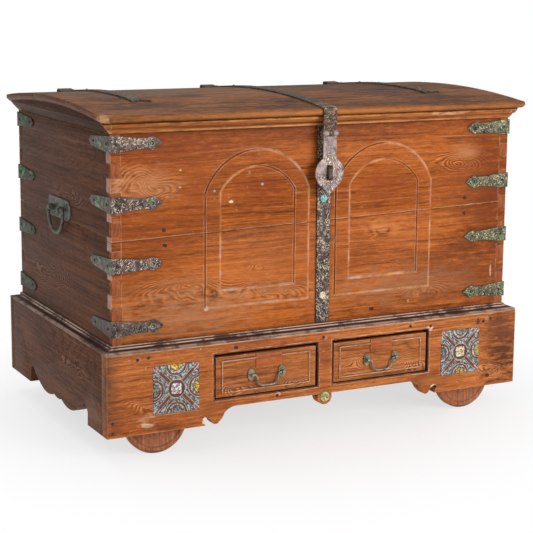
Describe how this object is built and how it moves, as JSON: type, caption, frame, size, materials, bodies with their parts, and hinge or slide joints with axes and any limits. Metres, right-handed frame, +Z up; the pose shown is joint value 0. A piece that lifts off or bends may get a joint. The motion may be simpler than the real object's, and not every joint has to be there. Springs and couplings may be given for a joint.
{
  "type": "dowry chest",
  "caption": "Wooden dowry chest on wheels: hinged vaulted lid with strap hinges and a hasp, arched front, base with drawers, iron corner straps and carrying handles.",
  "frame": {"origin": "on the floor, under the middle of the chest's overall box", "axes": "+X along the chest's width, to the right of someone who faces its front; the front faces -Y; +Z is up"},
  "size_m": [1.166, 0.7316, 0.8355],
  "materials": {
    "front_wood": "old waxed teak, warm orange brown, worn pale along its edges",
    "side_wood": "old waxed teak, dark brown, scuffed",
    "lid_wood": "old waxed teak, brown with a dry greyish bloom on top, golden on its worn mouldings",
    "base_wood": "old waxed teak, orange brown, with scratches, filled holes and rubbed edges",
    "moulding_wood": "very dark stained wood with pale worn edges",
    "drawer_wood": "old waxed teak with a dusty worn bead",
    "plain_wood": "unfinished sawn wood, brown and dry",
    "wheel_wood": "turned wooden disc, brown, rubbed along the rim",
    "strap_iron": "hand forged iron strap, dark purplish brown with pale speckled wear",
    "green_iron": "forged strap with pale speckles and bright green patina along its edges",
    "hasp_iron": "forged hasp, rubbed to pale grey with brown and cream speckles",
    "pull_brass": "old brass, dull, grey green in its hollows",
    "tile_glaze": "painted tile, a rosette between corner leaves in white, turquoise and yellow, glazed",
    "boss_paint": "painted flower boss in chipped white, yellow and green"
  },
  "bodies": {
    "chest": {"axle_bearers": "plain_wood", "axle_pins": "strap_iron", "back_left_corner_straps": "green_iron", "back_lower_board": "side_wood", "back_right_corner_straps": "green_iron", "back_upper_board": "side_wood", "base_back_board": "base_wood", "base_deck_boards": "plain_wood", "base_front_board": "base_wood", "base_left_board": "base_wood", "base_right_board": "base_wood", "centre_boss": "boss_paint", "chest_floor_boards": "plain_wood", "chest_nails": "strap_iron", "drawer_guides": "plain_wood", "drawer_runners": "plain_wood", "front_centre_strap": "strap_iron", "front_left_corner_straps": "green_iron", "front_lower_board": "front_wood", "front_right_corner_straps": "green_iron", "front_upper_board": "front_wood", "hasp_staple": "hasp_iron", "hinge_leaves": "strap_iron", "left_handle_plate": "green_iron", "left_lower_board": "side_wood", "left_upper_board": "side_wood", "painted_tiles": "tile_glaze", "plinth_mouldings": "moulding_wood", "right_handle_plate": "green_iron", "right_lower_board": "side_wood", "right_upper_board": "side_wood", "strap_bosses": "boss_paint"},
    "lid": {"lid_back_board": "lid_wood", "lid_back_rail": "lid_wood", "lid_centre_strap": "strap_iron", "lid_front_board": "lid_wood", "lid_front_rail": "lid_wood", "lid_left_end": "lid_wood", "lid_left_strap": "strap_iron", "lid_middle_board": "lid_wood", "lid_right_end": "lid_wood", "lid_right_strap": "strap_iron", "lid_strap_nails": "strap_iron", "hinge_pins": "strap_iron", "hasp_pin": "hasp_iron"},
    "hasp": {"hasp": "hasp_iron"},
    "left_drawer": {"left_drawer_front": "drawer_wood", "left_drawer_box": "plain_wood", "left_drawer_rosettes": "pull_brass"},
    "left_pull": {"left_drawer_pull": "pull_brass"},
    "left_handle": {"left_handle_bail": "green_iron"},
    "right_drawer": {"right_drawer_front": "drawer_wood", "right_drawer_box": "plain_wood", "right_drawer_rosettes": "pull_brass"},
    "right_pull": {"right_drawer_pull": "pull_brass"},
    "right_handle": {"right_handle_bail": "green_iron"},
    "front_left_wheel": {"front_left_wheel": "wheel_wood"},
    "front_right_wheel": {"front_right_wheel": "wheel_wood"},
    "back_left_wheel": {"back_left_wheel": "wheel_wood"},
    "back_right_wheel": {"back_right_wheel": "wheel_wood"}
  },
  "joints": [
    {"name": "lid_hinge", "type": "hinge", "parent": "chest", "child": "lid", "pos_m": [0, 0.35475, 0.81], "axis": [-1, 0, 0], "range_deg": [0, 100]},
    {"name": "hasp_hinge", "type": "hinge", "parent": "lid", "child": "hasp", "pos_m": [0.003, -0.35275, 0.749], "axis": [-1, 0, 0], "range_deg": [0, 120]},
    {"name": "left_drawer_slide", "type": "slide", "parent": "chest", "child": "left_drawer", "axis": [0, -1, 0], "range_m": [0, 0.3]},
    {"name": "left_pull_hinge", "type": "hinge", "parent": "left_drawer", "child": "left_pull", "pos_m": [-0.1615, -0.35725, 0.173], "axis": [-1, 0, 0], "range_deg": [0, 90]},
    {"name": "left_handle_hinge", "type": "hinge", "parent": "chest", "child": "left_handle", "pos_m": [-0.5625, 0.01925, 0.55], "axis": [0, 1, 0], "range_deg": [0, 90]},
    {"name": "right_drawer_slide", "type": "slide", "parent": "chest", "child": "right_drawer", "axis": [0, -1, 0], "range_m": [0, 0.3]},
    {"name": "right_pull_hinge", "type": "hinge", "parent": "right_drawer", "child": "right_pull", "pos_m": [0.1615, -0.35725, 0.173], "axis": [-1, 0, 0], "range_deg": [0, 90]},
    {"name": "right_handle_hinge", "type": "hinge", "parent": "chest", "child": "right_handle", "pos_m": [0.5625, 0.01925, 0.55], "axis": [0, -1, 0], "range_deg": [0, 90]},
    {"name": "front_left_wheel_spin", "type": "hinge", "parent": "chest", "child": "front_left_wheel", "pos_m": [-0.437, -0.30625, 0.079], "axis": [0, 1, 0], "continuous": true},
    {"name": "front_right_wheel_spin", "type": "hinge", "parent": "chest", "child": "front_right_wheel", "pos_m": [0.437, -0.30625, 0.079], "axis": [0, 1, 0], "continuous": true},
    {"name": "back_left_wheel_spin", "type": "hinge", "parent": "chest", "child": "back_left_wheel", "pos_m": [-0.437, 0.31975, 0.079], "axis": [0, 1, 0], "continuous": true},
    {"name": "back_right_wheel_spin", "type": "hinge", "parent": "chest", "child": "back_right_wheel", "pos_m": [0.437, 0.31975, 0.079], "axis": [0, 1, 0], "continuous": true}
  ]
}
